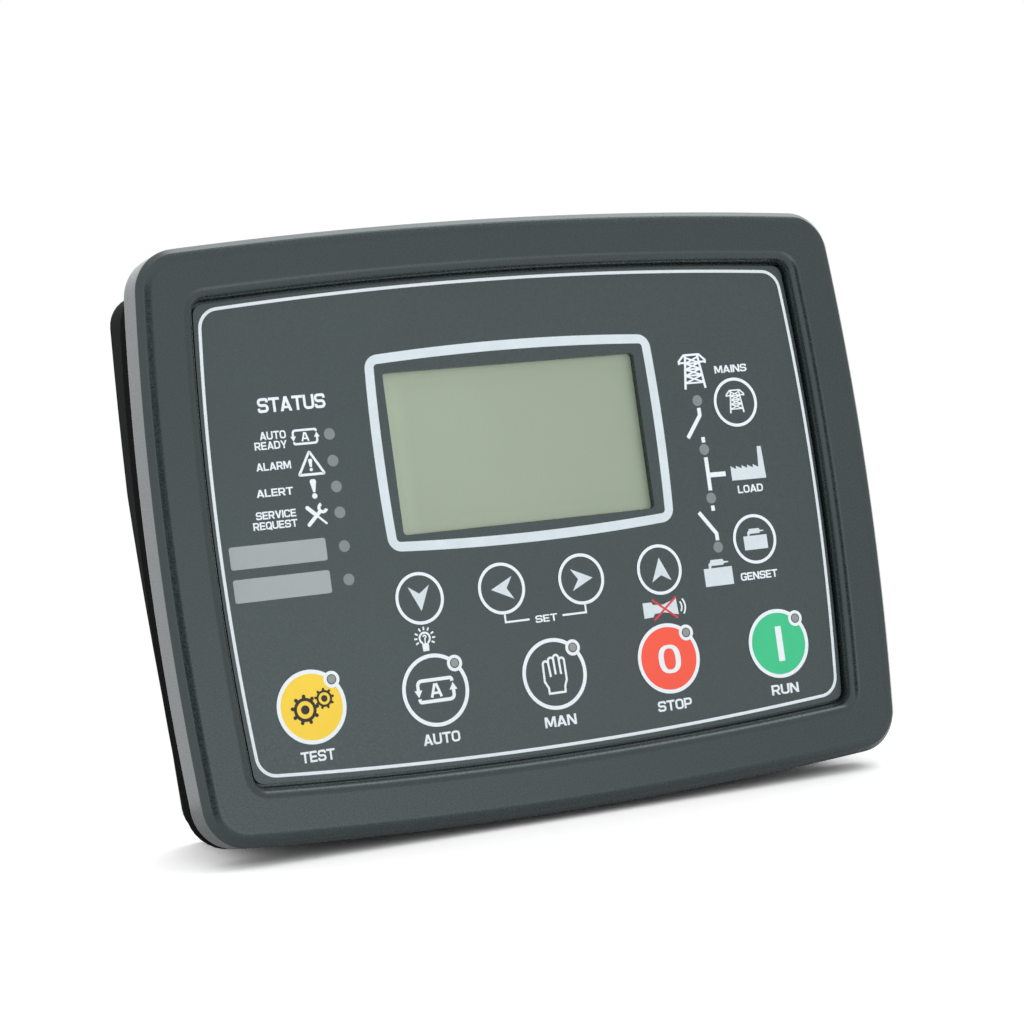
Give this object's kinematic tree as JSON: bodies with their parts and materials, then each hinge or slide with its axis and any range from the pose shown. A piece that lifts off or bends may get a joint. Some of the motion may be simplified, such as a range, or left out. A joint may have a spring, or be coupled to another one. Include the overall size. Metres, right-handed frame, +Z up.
{
  "type": "genset controller",
  "caption": "Panel-mounted genset controller: bowed grey bezel with a recessed membrane keypad, display and lamps, a panel seal, and a black rear box with plug-in screw terminals.",
  "frame": {"origin": "centre of the seat where the seal meets the panel", "axes": "+X to the right seen from the front, +Z up, the face looks along -Y and the rear box points along +Y"},
  "size_m": [0.1968, 0.0479, 0.1482],
  "materials": {
    "bezel_plastic": "fine moulded texture, dark grey",
    "keypad_film": "satin printed film, dark grey",
    "seal_rubber": "matt black",
    "housing_plastic": "fine moulded texture, black",
    "card": "plain pale grey card",
    "display_metal": "pressed sheet",
    "display_cell": "grey-green display cell, unlit",
    "light_guide": "clear moulded",
    "circuit_board": "green solder mask",
    "black_component": "moulded black",
    "key_plunger": "moulded black",
    "lamp": "clear lamp, unlit",
    "cell_steel": "nickel plated",
    "contact_metal": "gold plated",
    "terminal_plastic": "moulded green",
    "screw_steel": "zinc plated",
    "relay_case": "moulded dark blue",
    "coil_case": "moulded blue",
    "capacitor_can": "sleeved can",
    "ferrite": "sintered dark grey"
  },
  "bodies": {
    "controller": {"front_bezel": "bezel_plastic", "graphic_overlay": "keypad_film", "panel_gasket": "seal_rubber", "rear_housing": "housing_plastic", "legend_card": "card", "lcd_frame": "display_metal", "lcd_glass": "display_cell", "lcd_backlight": "light_guide", "lcd_board": "circuit_board", "display_board": "circuit_board", "tact_switch_bodies": "black_component", "status_leds": "lamp", "mimic_leds": "lamp", "key_leds": "lamp", "led_spacers": "black_component", "processor_chip": "black_component", "coin_cell_holder": "black_component", "coin_cell": "cell_steel", "board_link_pins": "contact_metal", "board_link_socket": "black_component", "io_board": "circuit_board", "header_upper_left": "terminal_plastic", "plug_upper_left": "terminal_plastic", "header_upper_right": "terminal_plastic", "plug_upper_right": "terminal_plastic", "header_lower_left": "terminal_plastic", "plug_lower_left": "terminal_plastic", "header_lower_right": "terminal_plastic", "plug_lower_right": "terminal_plastic", "terminal_screws": "screw_steel", "fuel_relay": "relay_case", "crank_relay": "relay_case", "mains_relay": "relay_case", "genset_relay": "relay_case", "current_transformer_1": "coil_case", "current_transformer_2": "coil_case", "current_transformer_3": "coil_case", "supply_capacitors": "capacitor_can", "power_inductor": "ferrite", "housing_screws": "screw_steel", "display_board_screws": "screw_steel", "io_board_screws": "screw_steel"},
    "test_key": {"test_key_plunger": "key_plunger"},
    "auto_key": {"auto_key_plunger": "key_plunger"},
    "manual_key": {"manual_key_plunger": "key_plunger"},
    "stop_key": {"stop_key_plunger": "key_plunger"},
    "run_key": {"run_key_plunger": "key_plunger"},
    "down_key": {"down_key_plunger": "key_plunger"},
    "left_key": {"left_key_plunger": "key_plunger"},
    "right_key": {"right_key_plunger": "key_plunger"},
    "up_key": {"up_key_plunger": "key_plunger"},
    "mains_key": {"mains_key_plunger": "key_plunger"},
    "genset_key": {"genset_key_plunger": "key_plunger"}
  },
  "joints": [
    {"name": "test_key_press", "type": "slide", "parent": "controller", "child": "test_key", "axis": [0, 1, 0], "range_m": [0, 0.00025], "stiffness_N_per_m": 400},
    {"name": "auto_key_press", "type": "slide", "parent": "controller", "child": "auto_key", "axis": [0, 1, 0], "range_m": [0, 0.00025], "stiffness_N_per_m": 400},
    {"name": "manual_key_press", "type": "slide", "parent": "controller", "child": "manual_key", "axis": [0, 1, 0], "range_m": [0, 0.00025], "stiffness_N_per_m": 400},
    {"name": "stop_key_press", "type": "slide", "parent": "controller", "child": "stop_key", "axis": [0, 1, 0], "range_m": [0, 0.00025], "stiffness_N_per_m": 400},
    {"name": "run_key_press", "type": "slide", "parent": "controller", "child": "run_key", "axis": [0, 1, 0], "range_m": [0, 0.00025], "stiffness_N_per_m": 400},
    {"name": "down_key_press", "type": "slide", "parent": "controller", "child": "down_key", "axis": [0, 1, 0], "range_m": [0, 0.00025], "stiffness_N_per_m": 400},
    {"name": "left_key_press", "type": "slide", "parent": "controller", "child": "left_key", "axis": [0, 1, 0], "range_m": [0, 0.00025], "stiffness_N_per_m": 400},
    {"name": "right_key_press", "type": "slide", "parent": "controller", "child": "right_key", "axis": [0, 1, 0], "range_m": [0, 0.00025], "stiffness_N_per_m": 400},
    {"name": "up_key_press", "type": "slide", "parent": "controller", "child": "up_key", "axis": [0, 1, 0], "range_m": [0, 0.00025], "stiffness_N_per_m": 400},
    {"name": "mains_key_press", "type": "slide", "parent": "controller", "child": "mains_key", "axis": [0, 1, 0], "range_m": [0, 0.00025], "stiffness_N_per_m": 400},
    {"name": "genset_key_press", "type": "slide", "parent": "controller", "child": "genset_key", "axis": [0, 1, 0], "range_m": [0, 0.00025], "stiffness_N_per_m": 400}
  ]
}
